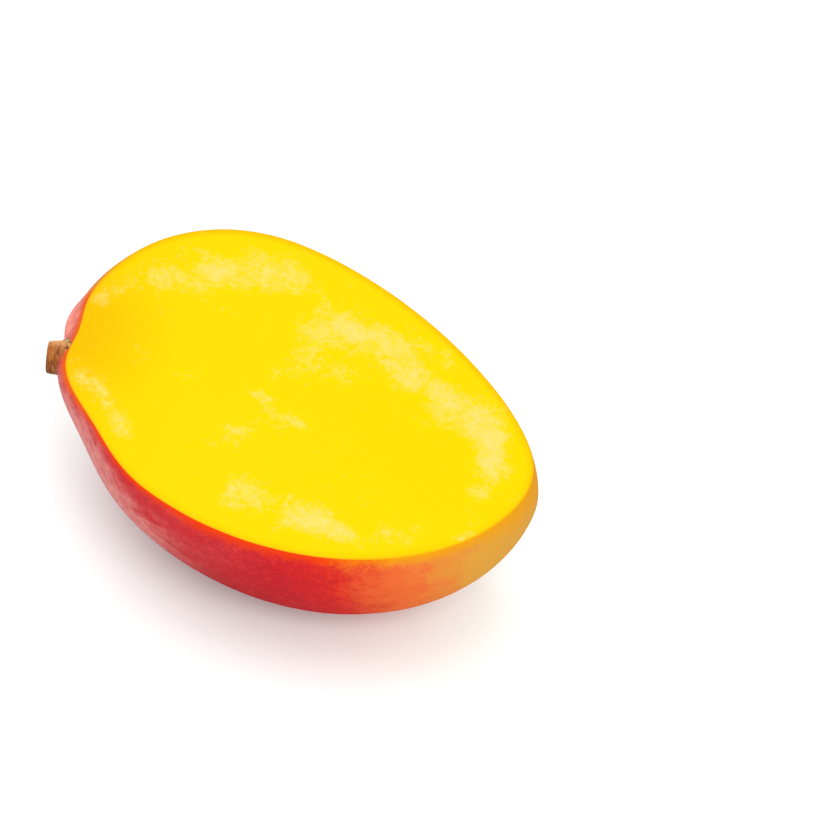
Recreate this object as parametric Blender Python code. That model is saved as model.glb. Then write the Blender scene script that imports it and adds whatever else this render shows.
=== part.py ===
"""A ripe palmer mango with one cheek sliced off, lying on its rounded back with the cut up.

Metres, +Z up. The fruit is shaped in its own axes: x runs from the stalk to the tip, y runs
from the belly to the back of the fruit, and z points out of the cut. An empty then lays it
in its resting attitude on z = 0, with the stalk towards -X and the cut leaning towards -Y.
"""

import math

import bmesh
import bpy
from mathutils import Matrix, Vector

# Fruit before the cut
FRUIT_LENGTH = 0.130
BACK_HEIGHT = 0.0492
BELLY_DEPTH = 0.0452
THICKNESS = 0.0860

# How blunt each outline is at the stalk end and at the tip: a low power is a blunt end
BACK_POWERS = (0.442, 0.796)
BELLY_POWERS = (0.568, 0.546)
FRONT_CHEEK_POWERS = (0.761, 0.531)
REAR_CHEEK_POWERS = (0.641, 0.577)

# Broad forms, each with its height and its place and width as fractions of the length
SHOULDER = (0.0022, 0.250, 0.229)
STALK_HOLLOW = (0.0061, 0.079, 0.081)
FULLER_REAR = (0.0093, 0.0, 0.020)

# Shallow basin beside the stalk, pressed into the stalk end; its centre is a y and a z
BASIN_DEPTH = 0.0016
BASIN_RADIUS = 0.0075
BASIN_CENTRE = (0.0033, 0.0034)

# Straight cut, a little off the middle and not quite square to it
CUT_OFFSET = 0.0126
CUT_RISE_TO_TIP = math.radians(8.2)
CUT_RISE_TO_BACK = math.radians(4.3)

# Stalk, a short woody stub that leans a little away from the long axis
STALK_SEAT = Vector((-0.0640, -0.0023, -0.0027))
STALK_DIRECTION = Vector((-0.953, -0.110, -0.305)).normalized()
STALK_FOOT_RADIUS = 0.0045
STALK_END_RADIUS = 0.00395
STALK_LENGTH = 0.0020
STALK_SUNK = 0.0030
STALK_RIDGES = 7
STALK_RIDGE_HEIGHT = 0.04
STALK_OVAL_TURN = 0.7
STALK_RINGS = (-0.0004, 0.0006, 0.0015)
END_RIM = 0.30
END_DISH = 0.0009
END_CHIPS = 0.0003
END_CHIP_COUNT = 3
END_CHIP_TURN = 1.0
SEAT_GAP = 0.0004
SOCKET_ABOVE_SKIN = 0.006

# Resting attitude and the flat spot that carries the weight
LEAN_TO_FRONT = math.radians(10.3)
STALK_END_RAISED = math.radians(8.4)
FLAT_SPOT_DEPTH = 0.0016

# Fineness of the facets, and blocks large enough to cut right across the fruit
FACETS_AROUND = 72
FACETS_ALONG = 46
STALK_FACETS = 28
BLOCK_SIZE = 0.3


def swell(fraction, powers):
    """Rise from 0 at both ends to 1 at the fullest place."""
    stalk_power, tip_power = powers
    fullest = stalk_power / (stalk_power + tip_power)
    rise = (fraction / fullest) ** stalk_power
    return rise * ((1.0 - fraction) / (1.0 - fullest)) ** tip_power


def bump(fraction, form):
    """A smooth local swelling of a given height, place and width."""
    height, place, width = form
    return height * math.exp(-((fraction - place) / width) ** 2)


def fruit_point(along, cosine, sine):
    """Point of the whole fruit, for a place along it and a direction around it."""
    fraction = min(max((1.0 + along) / 2.0, 0.0), 1.0)
    fade = math.sqrt(4.0 * fraction * (1.0 - fraction))
    back = BACK_HEIGHT * swell(fraction, BACK_POWERS) + fade * bump(fraction, SHOULDER)
    belly = BELLY_DEPTH * swell(fraction, BELLY_POWERS) - fade * bump(fraction, STALK_HOLLOW)
    powers = FRONT_CHEEK_POWERS if sine > 0.0 else REAR_CHEEK_POWERS
    cheek = THICKNESS / 2.0 * swell(fraction, powers)

    x = (fraction - 0.5) * FRUIT_LENGTH
    x += 2.0 * min(sine, 0.0) * max(cosine, 0.0) * fade * bump(fraction, FULLER_REAR)
    y = (back - belly) / 2.0 + (back + belly) / 2.0 * cosine
    return Vector((x, y, cheek * sine))


def with_basin(point):
    """Press in a point of the stalk end that lies in the basin."""
    if point.x > 0.0:
        return point
    away = math.hypot(point.y - BASIN_CENTRE[0], point.z - BASIN_CENTRE[1])
    depth = BASIN_DEPTH * math.exp(-(away / BASIN_RADIUS) ** 2)
    return point + Vector((depth, 0.0, 0.0))


def new_object(name, shape, group, material):
    """Turn a bmesh into an object of a collection."""
    mesh = bpy.data.meshes.new(name)
    shape.to_mesh(mesh)
    shape.free()
    mesh.materials.append(material)
    item = bpy.data.objects.new(name, mesh)
    group.objects.link(item)
    return item


def principled(name, colour, roughness):
    """A plain surface in a colour and roughness of the real one."""
    material = bpy.data.materials.new(name)
    material.use_nodes = True
    shader = material.node_tree.nodes["Principled BSDF"]
    shader.inputs["Base Color"].default_value = (*colour, 1.0)
    shader.inputs["Roughness"].default_value = roughness
    shader.inputs["Metallic"].default_value = 0.0
    material.diffuse_color = (*colour, 1.0)
    return material


def make_cutter(name, shape, group, material):
    """An object that only cuts, drawn as wire; the cut surface takes its material."""
    cutter = new_object(name, shape, group, material)
    cutter.hide_render = True
    cutter.display_type = "WIRE"
    return cutter


def cut_with(item, cutter):
    """Take a cutter's volume out of an object."""
    cut = item.modifiers.new(cutter.name, "BOOLEAN")
    cut.operation = "DIFFERENCE"
    cut.solver = "EXACT"
    cut.material_mode = "TRANSFER"
    cut.object = cutter


def make_fruit(group, skin):
    """The whole fruit: a sphere drawn out to the fruit's own outlines."""
    shape = bmesh.new()
    bmesh.ops.create_uvsphere(
        shape, u_segments=FACETS_AROUND, v_segments=FACETS_ALONG, radius=1.0)
    for corner in shape.verts:
        around = math.hypot(corner.co.x, corner.co.y)
        cosine = corner.co.x / around if around > 1e-6 else 1.0
        sine = corner.co.y / around if around > 1e-6 else 0.0
        corner.co = with_basin(fruit_point(corner.co.z, cosine, sine))
    for face in shape.faces:
        face.smooth = True
    return new_object("mango", shape, group, skin)


def make_block(name, group, material, side):
    """A block that stands on its own origin, for side 1, or hangs below it, for side -1."""
    shape = bmesh.new()
    bmesh.ops.create_cube(shape, size=BLOCK_SIZE)
    bmesh.ops.translate(shape, verts=shape.verts, vec=(0.0, 0.0, side * BLOCK_SIZE / 2.0))
    return make_cutter(name, shape, group, material)


def stalk_frame():
    """Axes of the stalk: origin on the skin, z out along the stalk."""
    turn = STALK_DIRECTION.to_track_quat("Z", "Y").to_matrix().to_4x4()
    return Matrix.Translation(STALK_SEAT) @ turn


def make_stalk(group, wood):
    """A woody stub: ridged along its length, with a chipped end that is dished in the middle."""
    full = STALK_LENGTH + STALK_SUNK
    shape = bmesh.new()
    bmesh.ops.create_cone(
        shape, cap_ends=True, segments=STALK_FACETS,
        radius1=STALK_FOOT_RADIUS, radius2=STALK_END_RADIUS, depth=full)
    bmesh.ops.translate(
        shape, verts=shape.verts, vec=(0.0, 0.0, full / 2.0 - STALK_SUNK))
    for height in STALK_RINGS:
        bmesh.ops.bisect_plane(
            shape, geom=shape.verts[:] + shape.edges[:] + shape.faces[:],
            plane_co=(0.0, 0.0, height), plane_no=(0.0, 0.0, 1.0))
    end = max(shape.faces, key=lambda face: face.calc_center_median().z)
    for _ in range(2):
        bmesh.ops.inset_region(shape, faces=[end], thickness=STALK_END_RADIUS * END_RIM)
    for corner in end.verts:
        corner.co.z -= END_DISH

    for corner in set(shape.verts) - set(end.verts):
        angle = math.atan2(corner.co.y, corner.co.x)
        if corner.co.z > STALK_RINGS[0] - END_CHIPS:
            ridge = 1.0 + STALK_RIDGE_HEIGHT * math.cos(STALK_RIDGES * angle)
            ridge += STALK_RIDGE_HEIGHT * math.cos(2.0 * angle + STALK_OVAL_TURN)
            corner.co.x *= ridge
            corner.co.y *= ridge
        if corner.co.z > STALK_LENGTH - END_CHIPS:
            corner.co.z += END_CHIPS * math.sin(END_CHIP_COUNT * angle + END_CHIP_TURN)
    for face in shape.faces:
        face.smooth = True
    stalk = new_object("stalk", shape, group, wood)
    stalk.matrix_local = stalk_frame()
    return stalk


def make_socket(group, material):
    """The pit that the stalk's foot sits in, a hair larger than the foot all round."""
    shape = bmesh.new()
    below = STALK_SUNK + SEAT_GAP
    wall = STALK_FOOT_RADIUS + SEAT_GAP
    bmesh.ops.create_cone(
        shape, cap_ends=True, segments=STALK_FACETS,
        radius1=wall, radius2=wall, depth=SOCKET_ABOVE_SKIN + below)
    bmesh.ops.translate(
        shape, verts=shape.verts, vec=(0.0, 0.0, (SOCKET_ABOVE_SKIN - below) / 2.0))
    socket = make_cutter("stalk_socket", shape, group, material)
    socket.matrix_local = stalk_frame()
    return socket


def world_points(items):
    """Every corner of the finished objects, in world axes."""
    bpy.context.view_layer.update()
    graph = bpy.context.evaluated_depsgraph_get()
    points = []
    for item in items:
        shown = item.evaluated_get(graph)
        points += [shown.matrix_world @ corner.co for corner in shown.data.vertices]
    return points


def main():
    for old in list(bpy.data.objects):
        bpy.data.objects.remove(old, do_unlink=True)

    pieces = bpy.data.collections.new("palmer_mango")
    cutters = bpy.data.collections.new("cutters")
    for group in (pieces, cutters):
        bpy.context.scene.collection.children.link(group)

    skin = principled("skin", (0.60, 0.045, 0.035), 0.38)
    flesh = principled("flesh", (1.0, 0.72, 0.01), 0.45)
    wood = principled("stalk_wood", (0.30, 0.13, 0.05), 0.80)

    fruit = make_fruit(pieces, skin)
    stalk = make_stalk(pieces, wood)
    socket = make_socket(cutters, skin)
    knife = make_block("cheek_cut", cutters, flesh, 1.0)
    knife.location = (0.0, 0.0, CUT_OFFSET)
    knife.rotation_euler = (CUT_RISE_TO_BACK, -CUT_RISE_TO_TIP, 0.0)

    attitude = bpy.data.objects.new("resting_attitude", None)
    pieces.objects.link(attitude)
    attitude.rotation_euler = (LEAN_TO_FRONT, STALK_END_RAISED, 0.0)
    for item in (fruit, stalk, socket, knife):
        item.parent = attitude

    cut_with(fruit, knife)
    cut_with(fruit, socket)
    lowest = min(point.z for point in world_points([fruit]))
    attitude.location.z = -lowest - FLAT_SPOT_DEPTH

    cut_with(fruit, make_block("flat_spot_cut", cutters, skin, -1.0))

    points = world_points([fruit, stalk])
    attitude.location.x = -(min(p.x for p in points) + max(p.x for p in points)) / 2.0
    attitude.location.y = -(min(p.y for p in points) + max(p.y for p in points)) / 2.0
    bpy.context.view_layer.update()


main()
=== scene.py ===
"""A ripe mango with one cheek sliced off: skin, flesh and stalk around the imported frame.

Metres, in the frame's own axes: +X from the stalk to the tip, +Z up. The fruit is shaped in
its own axes first (x along it, y from belly to back, z out of the cut) and then laid down.
The patterns of its materials are laid out in those same axes, in millimetres.
"""

import math

import bpy
import numpy as np
from bpy.props import FloatProperty, FloatVectorProperty, PointerProperty
from mathutils import Euler, Matrix, Vector, noise


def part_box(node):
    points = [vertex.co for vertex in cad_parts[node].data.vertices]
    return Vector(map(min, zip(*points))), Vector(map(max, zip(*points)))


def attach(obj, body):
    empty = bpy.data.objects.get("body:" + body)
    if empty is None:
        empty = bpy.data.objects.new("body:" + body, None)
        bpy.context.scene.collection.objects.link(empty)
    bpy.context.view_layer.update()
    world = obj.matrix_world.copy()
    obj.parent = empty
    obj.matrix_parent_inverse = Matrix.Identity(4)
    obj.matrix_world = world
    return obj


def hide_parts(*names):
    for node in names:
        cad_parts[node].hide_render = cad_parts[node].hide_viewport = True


bl_info = {
    "name": "Cut Mango",
    "version": (1, 0, 0),
    "blender": (4, 5, 0),
    "location": "3D View > Sidebar > Mango",
    "description": "A ripe mango with one cheek sliced off, on a pale studio floor",
    "category": "Add Mesh",
}

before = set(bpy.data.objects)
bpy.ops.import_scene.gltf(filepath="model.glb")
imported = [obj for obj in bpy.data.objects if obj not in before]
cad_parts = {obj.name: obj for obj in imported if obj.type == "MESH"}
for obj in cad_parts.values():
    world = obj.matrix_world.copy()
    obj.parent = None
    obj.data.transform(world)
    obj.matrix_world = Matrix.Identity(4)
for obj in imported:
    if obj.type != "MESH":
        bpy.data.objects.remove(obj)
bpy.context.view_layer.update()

# How blunt each outline is at the stalk end and at the tip
BACK_POWERS = (0.442, 0.796)
BELLY_POWERS = (0.568, 0.546)
FRONT_CHEEK_POWERS = (0.761, 0.531)
REAR_CHEEK_POWERS = (0.641, 0.577)

# Broad forms: height, and place and width as fractions of the length
SHOULDER = (0.0022, 0.250, 0.229)
STALK_HOLLOW = (0.0061, 0.079, 0.081)
FULLER_REAR = (0.0093, 0.0, 0.020)

# Basin beside the stalk: depth, radius, y and z
BASIN = (0.0016, 0.0075, 0.0033, 0.0034)

# Place and direction of the stalk, and the x that the creases around it don't pass
STALK_SEAT = Vector((-0.0640, -0.0023, -0.0027))
STALK_DIRECTION = Vector((-0.953, -0.110, -0.305)).normalized()
STALK_END_LIMIT = -0.03

# Fineness of the meshes and of the points that give the outline of the fruit, and the angle up
# to which an edge is shaded smooth
SEGMENTS_AROUND = 256
RINGS_ALONG = 176
STUB_SIDES = 96
STUB_RINGS = 30
COLLAR_SIDES = 120
COLLAR_ROUND = 16
OUTLINE_RINGS = 240
OUTLINE_STEPS = 361
SMOOTH_ANGLE = math.radians(35.0)

# Lengths that count as none, and how far below the cut a point may lie and still be on it
TINY = 1e-6
ON_PLANE = 1e-7

# Millimetres to a metre, for the patterns of the materials
MILLIMETRES = 1000.0

# Waves of the skin: share of its unevenness, scale and seed of each layer
SKIN_WAVES = ((1.0, 38.0, 3.1), (0.35, 120.0, 8.7))

# Creases around the stalk: how many there are, the strength, scale and seed of their wander,
# the ring that they lie in, and the depth below the cut where they reach their full height
CREASE_COUNT = 11.0
CREASE_WANDER = (5.0, 45.0, 5.3)
CREASE_RING = 0.009
CREASE_RING_WIDTH = 0.007
CREASE_FADE = 0.004

# Loops of edges below the cut that keep its rim crisp, and the rounding of the skin's edge
SKIN_LOOPS = (0.00030, 0.00010)
FLESH_LOOP = 0.00025
RIM_ROUNDING = 0.00012
RIM_REACH = 0.00009

# How far the flesh reaches into the skin and lies below its edge, the depth, scale and seed of
# its waves, and the width of the even stretch beside the skin
FLESH_OVERLAP = 0.00003
FLESH_DROP = 0.00001
FLESH_WAVES = ((0.00008, 160.0, 1.7), (0.00012, 45.0, 4.1))
FLESH_EVEN_RIM = 0.0015

# Section of the stub: mean size, and share, count and turn of each form around it
STUB_SIZE = 1.015
STUB_FORMS = ((0.022, 4.0, 0.5), (0.030, 2.0, 0.7))

# Rings along the stub: share, spacing, and strength, scale and seed of their wander
RING_SHARE = 0.012
RING_SPACING = 0.0009
RING_WANDER = (6.0, 260.0, 4.4)

# Lumps of the bark: share, scale and seed, and how much shorter they are along the stub
LUMP_WAVES = (0.040, 620.0, 2.2)
LUMP_STRETCH = (1.0, 1.0, 2.2)

# End of the stub: the insets that give its dish rings, as shares of its radius, the power of
# the dish's curve, the height, count and turn of its chips, the depth, scale and seed of its
# fine waves, and the height and start of its worn rim
END_INSETS = (0.03, 0.06, 0.11, 0.16, 0.18, 0.18, 0.16)
DISH_POWER = 0.7
END_CHIPS = (0.00008, 3.0, 1.0)
END_WAVES = (0.00012, 700.0, 6.1)
END_RIM = 0.00006
END_RIM_START = 0.95

# Cork collar: where it is thickest and how far that reaches, its greatest and least thickness,
# the scale and seed of its lumps and how far they go out and up, and the depth, scale and seed
# of the waves in its height, with the level that counts as none
COLLAR_TURN = math.radians(122.0)
COLLAR_REACH = math.radians(50.0)
COLLAR_MOST = 1.15
COLLAR_LEAST = 0.08
COLLAR_LUMPS = (520.0, 9.3)
COLLAR_LUMPS_OUT = 0.10
COLLAR_LUMPS_UP = 1.2
COLLAR_WAVES = (0.0004, 380.0, 7.9)
COLLAR_LEVEL = 0.6

# Pale clouds in the flesh: x and y in the fruit's own axes, half sizes (mm), turn, strength
PALE_CLOUDS = (
    (-38, 31, 9, 8, 10, 0.52),
    (-25, 34, 11, 7, 5, 0.54),
    (-14, 36, 8, 6, -10, 0.56),
    (-47, 25, 5, 4, 50, 0.34),
    (0, 24, 9, 8, 0, 0.62),
    (13, 23, 9, 7, -15, 0.64),
    (-5, 14, 6, 4, 70, 0.46),
    (23, 16, 10, 6, -25, 0.63),
    (28, 24, 7, 4, -30, 0.40),
    (33, 8, 6, 6, -30, 0.61),
    (43, 7, 10, 6, -50, 0.80),
    (47, -4, 7, 5, -75, 0.72),
    (46, -13, 4, 3, 0, 0.52),
    (3, 10, 8, 4, 5, 0.49),
    (-10, 7, 4, 3, 20, 0.50),
    (-11, -4, 9, 3, -40, 0.49),
    (-2, -7, 4, 3, 0, 0.38),
    (-16, -13, 5, 4, 90, 0.47),
    (-11, -31, 6, 6, 0, 0.58),
    (5, -33, 12, 5, -8, 0.66),
    (15, -35, 5, 3, 0, 0.56),
    (29, -31, 8, 4, 20, 0.43),
    (44, -27, 4, 1.5, 32, 0.60),
    (-54, -12, 7, 3, -38, 0.50),
    (-45, -20, 8, 3, -45, 0.52),
    (-58, 14, 8, 3, 75, 0.40),
    (-53, 24, 6, 3, 55, 0.36),
)

# Studio: size and roughness of the floor, places and sizes of the lights, the point that they
# face, and the camera's place from the middle of the fruit and its turn
FLOOR_SIZE = 6.0
FLOOR_ROUGHNESS = 0.9
KEY_PLACE = (-0.22, 0.05, 0.74)
KEY_SIZE = 0.70
FILL_PLACE = (0.16, -0.60, 0.62)
FILL_SIZE = 0.50
LIT_POINT = Vector((0.0, 0.0, 0.035))
CAMERA_FROM_FRUIT = Vector((-0.00285, -0.47558, 0.44406))
CAMERA_TURN = Matrix((
    (0.9709, -0.2350, -0.0464),
    (0.1241, 0.6592, -0.7417),
    (0.2048, 0.7144, 0.6691)))


def length_prop(name, description, default):
    """A size in metres."""
    return FloatProperty(name=name, description=description, default=default,
                         precision=5, unit="LENGTH")


def angle_prop(name, description, degrees):
    """An angle, given here in degrees."""
    return FloatProperty(name=name, description=description,
                         default=math.radians(degrees), subtype="ANGLE")


def power_prop(name, description, default):
    """The power of a light in watts."""
    return FloatProperty(name=name, description=description, default=default,
                         min=0.0, unit="POWER")


def colour_prop(name, description, default):
    """A linear colour."""
    return FloatVectorProperty(name=name, description=description, default=default,
                               size=3, min=0.0, max=1.0, subtype="COLOR")


class FruitShape(bpy.types.PropertyGroup):
    """Sizes of the fruit and of the cut."""

    length: length_prop("Length", "From the stalk end to the tip", 0.130)
    back: length_prop("Back", "Height of the back above the long axis", 0.0492)
    belly: length_prop("Belly", "Depth of the belly below the long axis", 0.0452)
    thickness: length_prop("Thickness", "From cheek to cheek before the cut", 0.0860)
    cut_offset: length_prop("Cut offset", "How far the cut lies off the middle", 0.0126)
    cut_to_tip: angle_prop("Cut rise to tip", "Slope of the cut along the fruit", 8.2)
    cut_to_back: angle_prop("Cut rise to back", "Slope of the cut across the fruit", 4.3)
    lean: angle_prop("Lean", "How far the fruit leans to the front", 10.3)
    stalk_raised: angle_prop("Stalk end raised", "How far the stalk end is raised", 8.4)
    flat_spot: length_prop("Flat spot", "How far the fruit settles on its back", 0.0016)
    peel: length_prop("Peel", "Thickness of the skin", 0.0004)
    unevenness: length_prop("Unevenness", "Depth of the broad waves of the skin", 0.0003)
    creases: length_prop("Creases", "Depth of the creases around the stalk", 0.00018)


class StalkShape(bpy.types.PropertyGroup):
    """Sizes of the woody stub."""

    foot: length_prop("Foot radius", "Radius where it enters the fruit", 0.0045)
    end: length_prop("End radius", "Radius at the cut end", 0.0040)
    length: length_prop("Length", "How far it stands out of the skin", 0.0023)
    sunk: length_prop("Sunk", "How far it goes into the fruit", 0.0030)
    dish: length_prop("Dish", "Depth of the dished end", 0.0007)
    collar: length_prop("Collar", "Half thickness of the corky collar at the foot", 0.0005)


class MangoColours(bpy.types.PropertyGroup):
    """Linear colours of the skin, the flesh and the wood."""

    flesh: colour_prop("Flesh", "Main colour of the cut", (0.66, 0.46, 0.0))
    flesh_deep: colour_prop("Deep flesh", "Towards the stalk and the skin", (0.64, 0.335, 0.0))
    flesh_pale: colour_prop("Pale flesh", "Fibrous clouds", (0.65, 0.49, 0.12))
    crimson: colour_prop("Crimson", "Skin of the stalk half", (0.44, 0.0105, 0.0170))
    red: colour_prop("Red", "Skin of the middle", (0.56, 0.017, 0.009))
    orange: colour_prop("Orange", "Skin between red and gold", (0.62, 0.110, 0.024))
    gold: colour_prop("Gold", "Skin of the tip", (0.565, 0.265, 0.030))
    # Red and gold edge: a painted glow of light through the thin skin just below the cut
    glow_red: colour_prop("Red edge", "Skin just below the cut", (0.65, 0.036, 0.0))
    glow_gold: colour_prop("Gold edge", "The same, towards the tip", (0.63, 0.256, 0.0))
    section: colour_prop("Section", "Cut through the skin", (0.62, 0.33, 0.0))
    # Deeper crimson: painted shade on the underside, and also the colour of the skin's own dark
    # flecks
    crimson_shade_and_flecks: colour_prop("Deep crimson", "Skin of the underside", (0.33, 0.012, 0.017))
    flush: colour_prop("Flush", "Lighter flecks in the crimson", (0.62, 0.050, 0.035))
    # Partly a waxy bloom and partly a painted sheen of reflected light on the lower side near the
    # stalk
    bloom_and_sheen: colour_prop("Bloom", "Waxy bloom towards the stalk and below", (0.61, 0.235, 0.220))
    # Salmon: partly bloom and partly a painted highlight on the raised side near the stalk
    salmon_bloom_and_highlight: colour_prop("Salmon", "Bloom of the raised side near the stalk", (0.84, 0.33, 0.255))
    pores: colour_prop("Pores", "Tiny dots of the skin", (0.60, 0.22, 0.12))
    wood: colour_prop("Wood", "Bark of the stalk", (0.30, 0.090, 0.018))
    # Painted shade on the underside of the stub, and a painted highlight, partly wear, on its top
    wood_shaded_low: colour_prop("Lower wood", "Bark of the underside", (0.16, 0.042, 0.010))
    wood_lit_and_worn_top: colour_prop("Worn wood", "Worn upper side", (0.62, 0.30, 0.12))
    wood_light: colour_prop("Light wood", "Raised streaks", (0.44, 0.18, 0.055))
    wood_dark: colour_prop("Dark wood", "Grooves", (0.085, 0.024, 0.005))
    cork: colour_prop("Cork", "Collar around the foot", (0.44, 0.25, 0.090))


class StudioSettings(bpy.types.PropertyGroup):
    """Floor, lights and camera."""

    floor: colour_prop("Floor", "Colour of the floor", (0.84, 0.89, 0.88))
    sky: FloatProperty(name="Surrounding light", description="Strength of the even light",
                       default=0.88, min=0.0)
    key: power_prop("Key light", "Power of the large soft light", 2.7)
    fill: power_prop("Fill light", "Power of the front light", 4.1)
    field: angle_prop("Field of view", "Angle that the camera sees", 18.516)


def swell(fraction, powers):
    """Rise from 0 at both ends to 1 at the fullest place."""
    stalk_power, tip_power = powers
    fullest = stalk_power / (stalk_power + tip_power)
    rise = (fraction / fullest) ** stalk_power
    return rise * ((1.0 - fraction) / (1.0 - fullest)) ** tip_power


def bump(fraction, form):
    """A smooth local swelling of a given height, place and width."""
    height, place, width = form
    return height * np.exp(-((fraction - place) / width) ** 2)


def fruit_points(shape, ball):
    """Draw the points of a unit ball, whose poles are on z, out to the whole fruit."""
    around = np.hypot(ball[:, 0], ball[:, 1])
    on_axis = around < TINY
    cosine = np.where(on_axis, 1.0, ball[:, 0] / np.maximum(around, TINY))
    sine = np.where(on_axis, 0.0, ball[:, 1] / np.maximum(around, TINY))
    fraction = np.clip((1.0 + ball[:, 2]) / 2.0, 0.0, 1.0)
    fade = np.sqrt(4.0 * fraction * (1.0 - fraction))
    back = shape.back * swell(fraction, BACK_POWERS) + fade * bump(fraction, SHOULDER)
    belly = shape.belly * swell(fraction, BELLY_POWERS) - fade * bump(fraction, STALK_HOLLOW)
    front = swell(fraction, FRONT_CHEEK_POWERS)
    rear = swell(fraction, REAR_CHEEK_POWERS)
    cheek = shape.thickness / 2.0 * np.where(sine > 0.0, front, rear)

    x = (fraction - 0.5) * shape.length
    x = x + 2.0 * np.minimum(sine, 0.0) * np.maximum(cosine, 0.0) * fade * bump(
        fraction, FULLER_REAR)
    y = (back - belly) / 2.0 + (back + belly) / 2.0 * cosine
    z = cheek * sine
    depth, radius, basin_y, basin_z = BASIN
    away = np.hypot(y - basin_y, z - basin_z)
    x = x + np.where(x < 0.0, depth * np.exp(-(away / radius) ** 2), 0.0)
    return np.column_stack((x, y, z))


def cut_plane(shape):
    """A point of the cut and its outward normal, in the fruit's own axes."""
    normal = Euler((shape.cut_to_back, -shape.cut_to_tip, 0.0)).to_matrix() @ Vector((0, 0, 1))
    return np.array((0.0, 0.0, shape.cut_offset)), np.array(normal)


def resting_place(shape):
    """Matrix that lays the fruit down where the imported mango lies."""
    polar, turn = np.meshgrid(
        np.linspace(0.0, math.pi, OUTLINE_RINGS), np.linspace(0.0, math.tau, OUTLINE_STEPS))
    ball = np.column_stack((
        (np.sin(polar) * np.cos(turn)).ravel(),
        (np.sin(polar) * np.sin(turn)).ravel(),
        np.cos(polar).ravel()))
    points = fruit_points(shape, ball)
    origin, normal = cut_plane(shape)
    points = points[(points - origin) @ normal < 0.0]
    turned = Euler((shape.lean, shape.stalk_raised, 0.0)).to_matrix()
    laid = points @ np.array(turned).T
    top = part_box("mango")[1]
    place = Vector((
        top.x - laid[:, 0].max(), top.y - laid[:, 1].max(),
        -laid[:, 2].min() - shape.flat_spot))
    return Matrix.Translation(place) @ turned.to_4x4()


def stalk_place(shape):
    """Matrix from the stub's own axes, z out along it, to its place in the frame."""
    turn = STALK_DIRECTION.to_track_quat("Z", "Y").to_matrix().to_4x4()
    return resting_place(shape) @ Matrix.Translation(STALK_SEAT) @ turn


def read_points(mesh):
    """The vertices of a mesh as an array."""
    flat = np.zeros(len(mesh.vertices) * 3)
    mesh.vertices.foreach_get("co", flat)
    return flat.reshape(-1, 3)


def read_normals(mesh):
    """The vertex normals of a mesh as an array."""
    flat = np.zeros(len(mesh.vertices) * 3)
    mesh.vertex_normals.foreach_get("vector", flat)
    return flat.reshape(-1, 3)


def write_points(mesh, points):
    """Put the vertices of a mesh at the given points."""
    mesh.vertices.foreach_set("co", np.ascontiguousarray(points).ravel())
    mesh.update()


def store(mesh, name, values):
    """Keep a number for each vertex, for the material to read."""
    attribute = mesh.attributes.new(name, "FLOAT", "POINT")
    attribute.data.foreach_set("value", values.astype(np.float32))


def waves(points, scale, seed):
    """Smooth noise from 0 to 1 at each point."""
    shift = Vector((seed, -seed, 2.0 * seed))
    found = [noise.noise(Vector(point) * scale + shift) for point in points]
    return np.clip(0.5 + 0.5 * np.array(found), 0.0, 1.0)


def deselect():
    """Leave nothing selected."""
    bpy.ops.object.select_all(action="DESELECT")


def cut_loop(point, normal, clear):
    """Draw a loop around the mesh in edit mode where a plane meets it."""
    bpy.ops.mesh.select_all(action="SELECT")
    bpy.ops.mesh.bisect(
        plane_co=point, plane_no=normal, use_fill=False, clear_outer=clear, threshold=TINY)


def finish_piece(piece, recipe, slot, *nodes):
    """Give a piece its material and its place in the frame."""
    piece.data.materials.clear()
    piece.data.materials.append(recipe.material)
    deselect()
    piece.select_set(True)
    bpy.context.view_layer.objects.active = piece
    bpy.ops.object.shade_smooth_by_angle(angle=SMOOTH_ANGLE)
    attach(piece, "root")
    if nodes:
        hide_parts(*nodes)


def skin_hollows(shape, points):
    """How far each point of the skin lies in: broad waves, and creases around the stalk."""
    hollow = sum(
        share * shape.unevenness * waves(points, scale, seed)
        for share, scale, seed in SKIN_WAVES)
    offset = points - np.array(STALK_SEAT)
    angle = np.arctan2(offset[:, 2], offset[:, 1])
    away = np.hypot(offset[:, 1], offset[:, 2])
    strength, scale, seed = CREASE_WANDER
    wander = strength * waves(points, scale, seed)
    folds = (0.5 + 0.5 * np.cos(CREASE_COUNT * angle + wander)) ** 2
    near = np.exp(-((away - CREASE_RING) / CREASE_RING_WIDTH) ** 2)
    near *= points[:, 0] < STALK_END_LIMIT
    origin, normal = cut_plane(shape)
    near *= np.clip(-(points - origin) @ normal / CREASE_FADE, 0.0, 1.0)
    return hollow + shape.creases * folds * near


def fruit_body(name, shape, inset):
    """The whole fruit as a closed mesh in its own axes, drawn in by an inset."""
    deselect()
    bpy.ops.mesh.primitive_uv_sphere_add(
        segments=SEGMENTS_AROUND, ring_count=RINGS_ALONG, radius=1.0)
    piece = bpy.context.object
    piece.name = name
    piece.data.name = name
    write_points(piece.data, fruit_points(shape, read_points(piece.data)))
    points = read_points(piece.data)
    hollow = skin_hollows(shape, points) + inset
    write_points(piece.data, points - read_normals(piece.data) * hollow[:, None])
    return piece


def lay_down(piece, shape):
    """Put the finished fruit body in its resting place, settled on its flat spot."""
    piece.data.transform(resting_place(shape))
    points = read_points(piece.data)
    points[:, 2] = np.maximum(points[:, 2], 0.0)
    write_points(piece.data, points)


def in_order(edges, points):
    """The points of a closed line of edges, one after the other."""
    beside = {}
    for first, second in edges:
        beside.setdefault(first, []).append(second)
        beside.setdefault(second, []).append(first)
    if any(len(others) != 2 for others in beside.values()):
        raise RuntimeError("the cut does not meet the flesh in one closed line")
    start = min(beside)
    order, last, here = [start], None, start
    while True:
        step = [other for other in beside[here] if other != last][0]
        if step == start:
            return points[order]
        order.append(step)
        last, here = here, step


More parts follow.
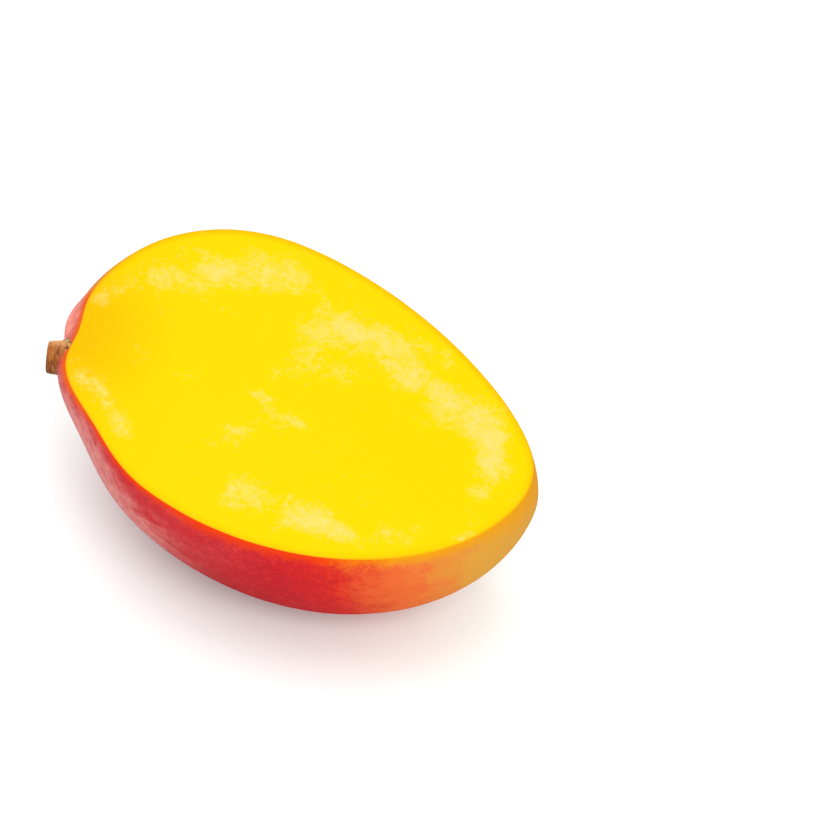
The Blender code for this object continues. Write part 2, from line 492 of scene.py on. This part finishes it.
def edge_distance(points, loop):
    """Distance of each point from a closed line given by the loop's points."""
    starts, ends = loop, np.roll(loop, -1, axis=0)
    sides = ends - starts
    lengths = (sides ** 2).sum(1)
    nearest = np.full(len(points), np.inf)
    for start, side, length in zip(starts, sides, lengths):
        share = np.clip((points - start) @ side / length, 0.0, 1.0)
        gap = points - start - share[:, None] * side
        nearest = np.minimum(nearest, (gap ** 2).sum(1))
    return np.sqrt(nearest)


def cloud_cover(points):
    """How strongly the pale clouds of the flesh cover each point, from 0 to 1."""
    bare = np.ones(len(points))
    for x, y, long_side, short_side, turn, strength in PALE_CLOUDS:
        cosine = math.cos(math.radians(turn))
        sine = math.sin(math.radians(turn))
        away = points[:, :2] * MILLIMETRES - (x, y)
        along = (away[:, 0] * cosine + away[:, 1] * sine) / long_side
        across = (away[:, 1] * cosine - away[:, 0] * sine) / short_side
        bare *= 1.0 - strength * np.exp(-np.hypot(along, across) ** 3)
    return 1.0 - bare


def bark_points(stub, points):
    """Shape the points of a smooth stub: a squarish section, low rings, and a chipped end."""
    angle = np.arctan2(points[:, 1], points[:, 0])
    spread = np.hypot(points[:, 0], points[:, 1]) / stub.end
    height = points[:, 2]
    grow = STUB_SIZE
    for share, count, turn in STUB_FORMS:
        grow = grow + share * np.cos(count * angle + turn)
    strength, scale, seed = RING_WANDER
    wander = strength * waves(points, scale, seed)
    grow += RING_SHARE * np.sin(height * math.tau / RING_SPACING + wander)
    share, scale, seed = LUMP_WAVES
    grow += share * (waves(points * LUMP_STRETCH, scale, seed) - 0.5)

    chip, count, turn = END_CHIPS
    depth, scale, seed = END_WAVES
    chips = chip * np.sin(count * angle + turn) + depth * (waves(points, scale, seed) - 0.5)
    dish = stub.dish * np.clip(1.0 - spread, 0.0, 1.0) ** DISH_POWER
    worn = np.clip((spread - END_RIM_START) / (1.0 - END_RIM_START), 0.0, 1.0)
    lift = chips * np.clip(spread, 0.0, 1.0) - dish - END_RIM * worn ** 2
    shaped = points * np.column_stack((grow, grow, np.ones(len(points))))
    at_end = height > stub.length - TINY
    shaped[at_end, 2] += lift[at_end]
    return shaped


def add_collar(stub, seat, skin):
    """An uneven ring of cork around the foot of the stub, which follows the skin there."""
    deselect()
    bpy.ops.mesh.primitive_torus_add(
        major_segments=COLLAR_SIDES, minor_segments=COLLAR_ROUND,
        major_radius=stub.foot, minor_radius=stub.collar)
    ring = bpy.context.object
    points = read_points(ring.data)
    lumps = waves(points, *COLLAR_LUMPS) - 0.5
    angle = np.arctan2(points[:, 1], points[:, 0])
    turn = np.angle(np.exp(1j * (angle - COLLAR_TURN)))
    thick = np.clip(COLLAR_MOST - (turn / COLLAR_REACH) ** 2, COLLAR_LEAST, 1.0)
    away = np.hypot(points[:, 0], points[:, 1])
    grow = (stub.foot + (away - stub.foot) * thick) * (1.0 + COLLAR_LUMPS_OUT * lumps) / away
    points[:, :2] *= grow[:, None]
    points[:, 2] *= thick * (1.0 + COLLAR_LUMPS_UP * lumps)

    inverse = seat.inverted()
    outwards = seat.to_3x3() @ Vector((0.0, 0.0, 1.0))
    for point in points:
        start = seat @ Vector((point[0], point[1], stub.foot))
        found, place, _, _ = skin.ray_cast(start, -outwards)
        if not found:
            raise RuntimeError("the collar of the stalk misses the skin")
        point[2] += (inverse @ place).z
    depth, scale, seed = COLLAR_WAVES
    points[:, 2] += depth * (waves(points, scale, seed) - COLLAR_LEVEL)
    write_points(ring.data, points)
    return ring


class Recipe:
    """A material whose nodes are put in one at a time."""

    def __init__(self, name, place=None):
        self.material = bpy.data.materials.new(name)
        self.material.use_nodes = True
        self.tree = self.material.node_tree
        self.shader = self.tree.nodes["Principled BSDF"]
        self.place = place

    def feed(self, socket, value):
        """Link a socket to another one, or set it."""
        if isinstance(value, bpy.types.NodeSocket):
            self.tree.links.new(value, socket)
        elif socket.type == "RGBA":
            socket.default_value = (*value[:3], 1.0)
        else:
            socket.default_value = value

    def put(self, kind, sockets, **settings):
        """Add a node with its settings and the values of its sockets."""
        node = self.tree.nodes.new("ShaderNode" + kind)
        for name, value in settings.items():
            setattr(node, name, value)
        for name, value in sockets.items():
            self.feed(node.inputs[name], value)
        return node

    def own_axes(self, stretch=None):
        """Coordinates in millimetres in the piece's own axes, stretched where asked."""
        back = self.place.inverted()
        own = self.put("Mapping", {
            "Vector": self.put("TexCoord", {}).outputs["Object"],
            "Location": back.to_translation() * MILLIMETRES,
            "Rotation": back.to_euler(),
            "Scale": (MILLIMETRES, MILLIMETRES, MILLIMETRES)}).outputs["Vector"]
        if stretch:
            own = self.put("Mapping", {"Vector": own, "Scale": stretch}).outputs["Vector"]
        return own

    def noise(self, where, setting):
        """Noise from 0 to 1, set by its scale, detail, roughness and distortion."""
        scale, detail, roughness, distortion = setting
        return self.put("TexNoise", {
            "Vector": where, "Scale": scale, "Detail": detail,
            "Roughness": roughness, "Distortion": distortion}).outputs["Fac"]

    def maths(self, operation, *values):
        """One step of arithmetic."""
        node = self.put("Math", {}, operation=operation)
        for socket, value in zip(node.inputs, values):
            self.feed(socket, value)
        return node.outputs[0]

    def total(self, value, *parts):
        """A value and the parts added to it, each with how much of it is added."""
        for part, share in parts:
            value = self.maths("MULTIPLY_ADD", part, share, value)
        return value

    def product(self, value, *others):
        """All the values multiplied."""
        for other in others:
            value = self.maths("MULTIPLY", value, other)
        return value

    def highest(self, value, *others):
        """The highest of the values."""
        for other in others:
            value = self.maths("MAXIMUM", value, other)
        return value

    def spread(self, value, low, high, to_low=0.0, to_high=1.0):
        """Bring a value smoothly from one range to another."""
        return self.put("MapRange", {
            "Value": value, "From Min": low, "From Max": high,
            "To Min": to_low, "To Max": to_high},
            interpolation_type="SMOOTHSTEP").outputs["Result"]

    def blend(self, share, first, second):
        """A mix of two colours."""
        node = self.put("Mix", {}, data_type="RGBA")
        for index, value in ((0, share), (6, first), (7, second)):
            self.feed(node.inputs[index], value)
        return node.outputs[2]

    def kept(self, name):
        """A number that the mesh keeps for each vertex."""
        return self.put("Attribute", {}, attribute_name=name).outputs["Fac"]

    def paint(self, colour):
        """Send the finished colour to the shader."""
        self.feed(self.shader.inputs["Base Color"], colour)

    def gloss(self, roughness, specular):
        """Set how rough the surface is and how much it mirrors."""
        self.feed(self.shader.inputs["Roughness"], roughness)
        self.shader.inputs["Specular IOR Level"].default_value = specular

    def relief(self, height, strength, distance):
        """Fine relief that is too small for the mesh."""
        made = self.put("Bump", {
            "Height": height, "Strength": strength, "Distance": distance})
        self.feed(self.shader.inputs["Normal"], made.outputs["Normal"])


class SkinRecipe(Recipe):
    """Waxy skin: crimson at the stalk, red, then orange and gold towards the tip."""

    # Noise: scale per millimetre, detail, roughness and distortion
    BROAD = (0.045, 3.0, 0.55, 0.0)
    BLOTCH = (0.30, 4.0, 0.6, 0.4)
    SPECK = (1.3, 3.0, 0.6, 0.0)
    MOTTLE = (0.55, 5.0, 0.68, 0.5)
    LEATHER = (0.75, 3.0, 0.55, 0.0)
    STREAK = (0.30, 2.5, 0.5, 0.0)
    STREAK_STRETCH = (0.12, 1.0, 1.0)

    # How many millimetres the depth below the cut and each noise shift the zones along the skin
    SHIFT_BY_DEPTH = -0.35
    SHIFT_BY_BROAD = 22.0
    SHIFT_BY_BLOTCH = 14.0
    SHIFT_BY_SPECK = 13.0

    # Ranges, here and below: where each starts and ends, in millimetres or in noise, and what
    # it gives there, which is 0 and 1 where nothing is said
    TO_RED = (26.5, 42.5)
    TO_ORANGE = (36.5, 57.5)
    TO_GOLD = (54.5, 76.5)
    # Painted shade: the underside turns a deeper crimson with depth below the cut, along the
    # fruit and in blotches
    UNDERSIDE_SHADE = (5.0, 32.0, 0.0, 0.8)
    UNDERSIDE_SHADE_ALONG = (28.0, -5.0, 0.3, 1.0)
    UNDERSIDE_SHADE_BLOTCH = 8.0
    DARK_FLECKS = (0.46, 0.66, 0.0, 0.55)
    LIGHT_FLECKS = (0.48, 0.32, 0.0, 0.30)

    # Bloom, partly a painted sheen of reflected light: it thickens with depth and towards the
    # stalk, and thins out on the underside
    BLOOM_DEPTH = (30.0, 48.0)
    BLOOM_ALONG = (-3.0, -32.0, 0.05, 1.0)
    BLOOM_SLOPE = -0.5
    BLOOM_LAST_X = -51.0
    BLOOM_STREAK = 14.0
    BLOOM_BLOTCH = 10.0
    BLOOM_FLECKS = (0.62, 0.38, 0.72, 1.0)
    BLOOM_ENDS = (21.0, 38.0, 1.0, 0.22)
    BLOOM_END_STREAK = 16.0
    HAZE_ALONG = (5.0, -30.0, 0.0, 0.17)
    HAZE_STREAK = (0.30, 0.66, 0.35, 1.0)

    # The raised side: its bloom is a salmon pink, partly a painted highlight where light falls on
    # it, that lies near the stalk alone
    RAISED = (-1.0, 6.0)
    SALMON_ENDS = (-54.0, -34.0, 0.0, 0.55)
    CLEAN_WIDTH = 5.0
    CLEAN_WIDTH_RAISED = -3.2
    CLEAN = (0.1, 1.0, 0.55, 1.0)

    # Pores: how many to a millimetre, their size, and how strong the faint and the clear ones are
    PORES = 0.55
    PORE_SIZE = (0.16, 0.05)
    PORE_STRENGTH = (0.1, 0.9, 0.0, 0.16)

    # Bright strip below the cut, a painted glow of light through the thin skin: its height along
    # the fruit, more at the tip and at the back
    STRIP_HEIGHT = (-40.0, -12.0, 2.4, 4.2)
    STRIP_TIP = (46.0, 62.0, 0.0, 8.5)
    STRIP_BACK = (12.0, 22.0, 0.0, 2.5)
    STRIP_BLOTCH = (0.3, 0.7, 0.7, 1.3)
    STRIP_FADE = (1.0, 0.0, 0.0, 0.95)
    GOLDEN_BACK = (10.0, 20.0)
    GOLDEN_STALK = (-46.0, -60.0, 0.0, 0.28)
    SECTION = (0.10, 0.01)

    ROUGHNESS = (0.3, 0.7, 0.36, 0.46)
    COAT = 0.08
    COAT_ROUGHNESS = 0.28
    RELIEF = (0.30, 0.00022)

    def __init__(self, shape, colours):
        super().__init__("mango_skin", resting_place(shape))
        self.colours = colours
        self.own = self.own_axes()
        self.axes = self.put("SeparateXYZ", {"Vector": self.own}).outputs
        self.below = self.kept("below_cut")
        self.blotch = self.noise(self.own, self.BLOTCH)
        self.mottle = self.noise(self.own, self.MOTTLE)
        self.streak = self.noise(self.own_axes(self.STREAK_STRETCH), self.STREAK)
        along = self.total(
            self.axes["X"], (self.below, self.SHIFT_BY_DEPTH),
            (self.noise(self.own, self.BROAD), self.SHIFT_BY_BROAD),
            (self.blotch, self.SHIFT_BY_BLOTCH),
            (self.noise(self.own, self.SPECK), self.SHIFT_BY_SPECK))
        orange = self.spread(along, *self.TO_ORANGE)

        colour = self.blend(self.spread(along, *self.TO_RED), colours.crimson, colours.red)
        colour = self.with_bloom_and_sheen(self.shaded_and_flecked(colour))
        colour = self.blend(orange, colour, colours.orange)
        colour = self.blend(self.spread(along, *self.TO_GOLD), colour, colours.gold)
        self.paint(self.with_glow_and_section(self.with_pores(colour), orange))
        self.gloss(self.spread(self.blotch, *self.ROUGHNESS), 0.0)
        self.shader.inputs["Coat Weight"].default_value = self.COAT
        self.shader.inputs["Coat Roughness"].default_value = self.COAT_ROUGHNESS
        self.relief(self.noise(self.own, self.LEATHER), *self.RELIEF)

    def shaded_and_flecked(self, colour):
        """Paint shade onto the underside by deepening the colour there, and fleck it."""
        # Painted shade: deeper crimson towards the underside, where less light falls; the dark
        # and light flecks are the skin's own
        depth = self.total(self.below, (self.blotch, self.UNDERSIDE_SHADE_BLOTCH))
        low = self.product(
            self.spread(depth, *self.UNDERSIDE_SHADE),
            self.spread(self.axes["X"], *self.UNDERSIDE_SHADE_ALONG))
        colour = self.blend(low, colour, self.colours.crimson_shade_and_flecks)
        dark = self.spread(self.mottle, *self.DARK_FLECKS)
        colour = self.blend(dark, colour, self.colours.crimson_shade_and_flecks)
        light = self.spread(self.mottle, *self.LIGHT_FLECKS)
        return self.blend(light, colour, self.colours.flush)

    def with_bloom_and_sheen(self, colour):
        """Lay the waxy bloom, partly a painted sheen of reflected light, over the colour."""
        x = self.axes["X"]
        raised = self.spread(self.axes["Y"], *self.RAISED)
        depth = self.total(
            self.below, (self.highest(x, self.BLOOM_LAST_X), self.BLOOM_SLOPE),
            (self.streak, self.BLOOM_STREAK), (self.blotch, self.BLOOM_BLOTCH))
        bloom_and_sheen = self.product(
            self.spread(depth, *self.BLOOM_DEPTH), self.spread(x, *self.BLOOM_ALONG))
        haze = self.product(
            self.spread(self.streak, *self.HAZE_STREAK), self.spread(x, *self.HAZE_ALONG))
        clean = self.total(self.CLEAN_WIDTH, (raised, self.CLEAN_WIDTH_RAISED))
        underside = self.total(self.below, (self.streak, self.BLOOM_END_STREAK))
        farther = self.product(raised, self.spread(x, *self.SALMON_ENDS))
        bloom_and_sheen = self.product(
            self.highest(bloom_and_sheen, haze),
            self.spread(self.maths("DIVIDE", self.below, clean), *self.CLEAN),
            self.spread(self.mottle, *self.BLOOM_FLECKS),
            self.spread(underside, *self.BLOOM_ENDS),
            self.maths("SUBTRACT", 1.0, farther))
        # The bloom's colour: painted sheen below, and a painted highlight on the raised side
        bloom_and_sheen_colour = self.blend(raised, self.colours.bloom_and_sheen, self.colours.salmon_bloom_and_highlight)
        return self.blend(bloom_and_sheen, colour, bloom_and_sheen_colour)

    def with_pores(self, colour):
        """Dot the colour with pores, some of them fainter."""
        dots = self.put("TexVoronoi", {
            "Vector": self.own, "Scale": self.PORES, "Randomness": 1.0}).outputs
        chance = self.put("SeparateColor", {"Color": dots["Color"]}).outputs["Red"]
        dot = self.product(
            self.spread(dots["Distance"], *self.PORE_SIZE),
            self.spread(chance, *self.PORE_STRENGTH))
        return self.blend(dot, colour, self.colours.pores)

    def with_glow_and_section(self, colour, orange):
        """Paint a glow of light into the strip just below the cut, and colour the cut through the
        skin.
        """
        x = self.axes["X"]
        y = self.axes["Y"]
        height = self.maths(
            "ADD", self.spread(x, *self.STRIP_HEIGHT), self.spread(x, *self.STRIP_TIP))
        height = self.maths("ADD", height, self.spread(y, *self.STRIP_BACK))
        height = self.product(height, self.spread(self.blotch, *self.STRIP_BLOTCH))
        glow_strip = self.spread(self.maths("DIVIDE", self.below, height), *self.STRIP_FADE)
        golden = self.highest(
            orange, self.spread(y, *self.GOLDEN_BACK), self.spread(x, *self.GOLDEN_STALK))
        edge = self.blend(golden, self.colours.glow_red, self.colours.glow_gold)
        colour = self.blend(glow_strip, colour, edge)
        return self.blend(self.spread(self.below, *self.SECTION), colour, self.colours.section)


class FleshRecipe(Recipe):
    """Moist yellow flesh with pale fibrous clouds, deeper towards the skin and the stalk."""

    # Noise: scale per millimetre, detail, roughness and distortion
    CLOUD = (0.17, 5.0, 0.62, 0.6)
    GRAIN = (0.85, 4.0, 0.62, 0.3)
    FIBRE = (0.60, 5.0, 0.65, 0.5)
    FIBRE_STRETCH = (0.5, 1.0, 1.0)

    # How much the noise adds to the cover of the clouds, and where that turns pale
    CLOUD_SHARE = 1.7
    GRAIN_SHARE = 1.2
    PALE = (1.68, 2.58)

    # Deeper yellow: towards the stalk around a middle line, and beside the skin
    DEEP_ALONG = (-30.0, -66.0)
    DEEP_MIDDLE = 3.0
    DEEP_BESIDE = (3.0, 24.0, 1.0, 0.35)
    RIM = (2.2, 0.1)
    RIM_STRENGTH = (-15.0, 25.0, 0.35, 0.70)

    ROUGHNESS = 0.45
    SPECULAR = 0.02
    RELIEF = (0.20, 0.00015)

    def __init__(self, shape, colours):
        super().__init__("mango_flesh", resting_place(shape))
        own = self.own_axes()
        axes = self.put("SeparateXYZ", {"Vector": own}).outputs
        pale = self.total(
            self.kept("cover"), (self.noise(own, self.CLOUD), self.CLOUD_SHARE),
            (self.noise(own, self.GRAIN), self.GRAIN_SHARE))
        beside = self.maths("ABSOLUTE", self.maths("SUBTRACT", axes["Y"], self.DEEP_MIDDLE))
        deep = self.product(
            self.spread(axes["X"], *self.DEEP_ALONG), self.spread(beside, *self.DEEP_BESIDE))
        rim = self.product(
            self.spread(self.kept("edge"), *self.RIM),
            self.spread(axes["Y"], *self.RIM_STRENGTH))

        colour = self.blend(self.highest(deep, rim), colours.flesh, colours.flesh_deep)
        self.paint(self.blend(self.spread(pale, *self.PALE), colour, colours.flesh_pale))
        self.gloss(self.ROUGHNESS, self.SPECULAR)
        self.relief(self.noise(self.own_axes(self.FIBRE_STRETCH), self.FIBRE), *self.RELIEF)


class WoodRecipe(Recipe):
    """Dry reddish bark streaked around the stub, painted darker below as shade and lighter on top
    as a highlight that is partly wear, with a corky collar at its foot.
    """

    # Noise: scale per millimetre, detail, roughness and distortion
    GRAIN = (1.5, 4.0, 0.6, 0.4)
    GRAIN_STRETCH = (0.28, 0.28, 1.0)
    PATCHES = (0.9, 3.0, 0.6, 0.0)

    # How far a place lies to the upper side: shares of x and y, and of the patches. Painted shade
    # darkens the lower side, and a painted highlight, partly wear, lightens the top
    UP_BY_X = -0.8
    UP_BY_Y = 0.5
    UP_BY_PATCHES = 2.0
    SHADE_TO_UPPER = (-3.0, 1.5)
    WORN_AND_LIT = (3.2, 4.8, 0.0, 0.85)
    STREAKS = (0.52, 0.70, 0.0, 0.7)
    GROOVES = (0.48, 0.34, 0.0, 0.85)

    # The collar starts at the stub's foot: millimetres inside and outside its radius
    COLLAR_INSIDE = -0.15
    COLLAR_OUTSIDE = 0.20
    CORK_DARK = (0.55, 0.40)

    ROUGHNESS = 0.60
    SPECULAR = 0.12
    RELIEF = (0.5, 0.0002)

    def __init__(self, seat, stub, colours):
        super().__init__("stalk_wood", seat)
        own = self.own_axes()
        axes = self.put("SeparateXYZ", {"Vector": own}).outputs
        grain = self.noise(self.own_axes(self.GRAIN_STRETCH), self.GRAIN)
        patches = self.noise(own, self.PATCHES)
        above = self.total(
            self.product(axes["Y"], self.UP_BY_Y), (axes["X"], self.UP_BY_X),
            (patches, self.UP_BY_PATCHES))
        colour = self.blend(self.spread(above, *self.SHADE_TO_UPPER), colours.wood_shaded_low, colours.wood)
        colour = self.blend(self.spread(grain, *self.STREAKS), colour, colours.wood_light)
        colour = self.blend(self.spread(grain, *self.GROOVES), colour, colours.wood_dark)
        colour = self.blend(self.spread(above, *self.WORN_AND_LIT), colour, colours.wood_lit_and_worn_top)

        across = self.put("CombineXYZ", {"X": axes["X"], "Y": axes["Y"]}).outputs[0]
        away = self.put("VectorMath", {0: across}, operation="LENGTH").outputs["Value"]
        foot = MILLIMETRES * stub.foot
        outside = self.spread(away, foot + self.COLLAR_INSIDE, foot + self.COLLAR_OUTSIDE)
        dark = self.spread(patches, *self.CORK_DARK)
        cork = self.blend(dark, colours.cork, colours.wood_dark)
        self.paint(self.blend(outside, colour, cork))
        self.gloss(self.ROUGHNESS, self.SPECULAR)
        self.relief(grain, *self.RELIEF)


class MANGO_OT_skin(bpy.types.Operator):
    """Add the skin, a thin shell that ends at the cut"""

    bl_idname = "mango.skin"
    bl_label = "Skin"

    def execute(self, context):
        shape = context.scene.fruit_shape
        piece = fruit_body("skin", shape, 0.0)
        wall = piece.modifiers.new("peel", "SOLIDIFY")
        wall.thickness = shape.peel
        wall.offset = -1.0
        bpy.ops.object.modifier_apply(modifier=wall.name)

        origin, normal = cut_plane(shape)
        bpy.ops.object.mode_set(mode="EDIT")
        for depth in SKIN_LOOPS:
            cut_loop(origin - normal * depth, normal, False)
        cut_loop(origin, normal, True)
        bpy.ops.mesh.bridge_edge_loops()
        bpy.ops.object.mode_set(mode="OBJECT")

        points = read_points(piece.data)
        below = -(points - origin) @ normal
        outward = read_normals(piece.data)
        outward -= (outward @ normal)[:, None] * normal
        outer = (outward * (points - origin)).sum(1) > 0.0
        rounding = np.where(outer, RIM_ROUNDING * np.exp(-below / RIM_REACH), 0.0)
        write_points(piece.data, points - outward * rounding[:, None])
        store(piece.data, "below_cut", below * MILLIMETRES)
        lay_down(piece, shape)
        recipe = SkinRecipe(shape, context.scene.mango_colours)
        finish_piece(piece, recipe, "flesh_and_skin", "mango")
        return {"FINISHED"}


class MANGO_OT_flesh(bpy.types.Operator):
    """Add the flesh, which fills the skin and shows in the cut"""

    bl_idname = "mango.flesh"
    bl_label = "Flesh"

    def execute(self, context):
        shape = context.scene.fruit_shape
        piece = fruit_body("flesh", shape, shape.peel - FLESH_OVERLAP)
        origin, normal = cut_plane(shape)
        bpy.ops.object.mode_set(mode="EDIT")
        cut_loop(origin - normal * FLESH_LOOP, normal, False)
        cut_loop(origin, normal, False)
        bpy.ops.object.mode_set(mode="OBJECT")

        points = read_points(piece.data)
        height = (points - origin) @ normal
        face = height > -ON_PLANE
        rim = in_order([edge.vertices for edge in piece.data.edges if edge.select], points)
        points[face] -= height[face, None] * normal
        gap = np.zeros(len(points))
        gap[face] = edge_distance(points[face], rim)
        cover = np.zeros(len(points))
        cover[face] = cloud_cover(points[face])
        uneven = sum(depth * waves(points, scale, seed) for depth, scale, seed in FLESH_WAVES)
        drop = FLESH_DROP + uneven * (1.0 - np.exp(-gap / FLESH_EVEN_RIM))
        points[face] -= drop[face, None] * normal
        write_points(piece.data, points)
        store(piece.data, "edge", gap * MILLIMETRES)
        store(piece.data, "cover", cover)
        lay_down(piece, shape)
        recipe = FleshRecipe(shape, context.scene.mango_colours)
        finish_piece(piece, recipe, "flesh_and_skin")
        return {"FINISHED"}


class MANGO_OT_stalk(bpy.types.Operator):
    """Add the woody stub of the stalk with the corky collar around its foot"""

    bl_idname = "mango.stalk"
    bl_label = "Stalk"

    def execute(self, context):
        stub = context.scene.stalk_shape
        full = stub.length + stub.sunk
        deselect()
        bpy.ops.mesh.primitive_cone_add(
            vertices=STUB_SIDES, radius1=stub.foot, radius2=stub.end, depth=full,
            end_fill_type="NGON", location=(0.0, 0.0, full / 2.0 - stub.sunk))
        piece = context.object
        piece.name = "stub"
        piece.data.name = "stub"
        bpy.ops.object.transform_apply(location=True, rotation=False, scale=False)
        bpy.ops.object.mode_set(mode="EDIT")
        for step in range(1, STUB_RINGS):
            height = step * full / STUB_RINGS - stub.sunk
            cut_loop((0.0, 0.0, height), (0.0, 0.0, 1.0), False)
        bpy.ops.mesh.select_all(action="DESELECT")
        bpy.ops.object.mode_set(mode="OBJECT")
        for face in piece.data.polygons:
            face.select = face.center.z > stub.length - TINY
        bpy.ops.object.mode_set(mode="EDIT")
        bpy.ops.mesh.select_mode(type="FACE")
        for share in END_INSETS:
            bpy.ops.mesh.inset(thickness=stub.end * share, depth=0.0)
        bpy.ops.object.mode_set(mode="OBJECT")
        write_points(piece.data, bark_points(stub, read_points(piece.data)))

        seat = stalk_place(context.scene.fruit_shape)
        collar = add_collar(stub, seat, bpy.data.objects["skin"])
        deselect()
        collar.select_set(True)
        piece.select_set(True)
        context.view_layer.objects.active = piece
        bpy.ops.object.join()
        piece.data.transform(seat)
        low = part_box("stalk")[0]
        points = read_points(piece.data)
        points[:, 0] = np.maximum(points[:, 0], low.x)
        write_points(piece.data, points)
        recipe = WoodRecipe(seat, stub, context.scene.mango_colours)
        finish_piece(piece, recipe, "stalk_wood", "stalk")
        return {"FINISHED"}


def add_lamp(name, place, size, power):
    """A square soft light that faces the fruit."""
    aim = LIT_POINT - Vector(place)
    bpy.ops.object.light_add(
        type="AREA", location=place, rotation=aim.to_track_quat("-Z", "Y").to_euler())
    lamp = bpy.context.object
    lamp.name = name
    lamp.data.size = size
    lamp.data.energy = power


class MANGO_OT_studio(bpy.types.Operator):
    """Add the pale floor, the soft lights and the camera"""

    bl_idname = "mango.studio"
    bl_label = "Studio"

    def execute(self, context):
        studio = context.scene.studio_settings
        deselect()
        bpy.ops.mesh.primitive_plane_add(size=FLOOR_SIZE)
        floor = context.object
        floor.name = "floor"
        recipe = Recipe("pale_floor")
        recipe.paint(studio.floor)
        recipe.gloss(FLOOR_ROUGHNESS, 0.0)
        floor.data.materials.append(recipe.material)

        world = bpy.data.worlds.new("even_light")
        world.use_nodes = True
        sky = world.node_tree.nodes["Background"]
        sky.inputs["Color"].default_value = (1.0, 1.0, 1.0, 1.0)
        sky.inputs["Strength"].default_value = studio.sky
        context.scene.world = world
        add_lamp("key_light", KEY_PLACE, KEY_SIZE, studio.key)
        add_lamp("front_fill", FILL_PLACE, FILL_SIZE, studio.fill)

        middle = resting_place(context.scene.fruit_shape).translation
        bpy.ops.object.camera_add(location=middle + CAMERA_FROM_FRUIT)
        camera = context.object
        camera.data.angle = studio.field
        camera.rotation_euler = CAMERA_TURN.to_euler()
        context.scene.camera = camera
        context.scene.view_settings.view_transform = "Standard"
        return {"FINISHED"}


class MANGO_PT_panel(bpy.types.Panel):
    """Lists the pieces of the mango"""

    bl_label = "Cut Mango"
    bl_idname = "MANGO_PT_panel"
    bl_space_type = "VIEW_3D"
    bl_region_type = "UI"
    bl_category = "Mango"

    def draw(self, context):
        for operator in OPERATORS:
            self.layout.operator(operator.bl_idname)
        for name in SETTINGS:
            group = getattr(context.scene, name)
            for prop in group.__annotations__:
                self.layout.prop(group, prop)


OPERATORS = (MANGO_OT_skin, MANGO_OT_flesh, MANGO_OT_stalk, MANGO_OT_studio)
SETTINGS = {
    "fruit_shape": FruitShape,
    "stalk_shape": StalkShape,
    "mango_colours": MangoColours,
    "studio_settings": StudioSettings,
}


def register():
    """Make the settings, the operators and the panel known to Blender."""
    for group in SETTINGS.values():
        bpy.utils.register_class(group)
    for operator in (*OPERATORS, MANGO_PT_panel):
        bpy.utils.register_class(operator)
    for name, group in SETTINGS.items():
        setattr(bpy.types.Scene, name, PointerProperty(type=group))


def unregister():
    """Take them out again, the last ones first."""
    for name in SETTINGS:
        delattr(bpy.types.Scene, name)
    for operator in (MANGO_PT_panel, *reversed(OPERATORS)):
        bpy.utils.unregister_class(operator)
    for group in reversed(SETTINGS.values()):
        bpy.utils.unregister_class(group)


def main():
    """Build the mango and its studio."""
    register()
    bpy.ops.mango.skin()
    bpy.ops.mango.flesh()
    bpy.ops.mango.stalk()
    bpy.ops.mango.studio()


if __name__ == "__main__":
    main()
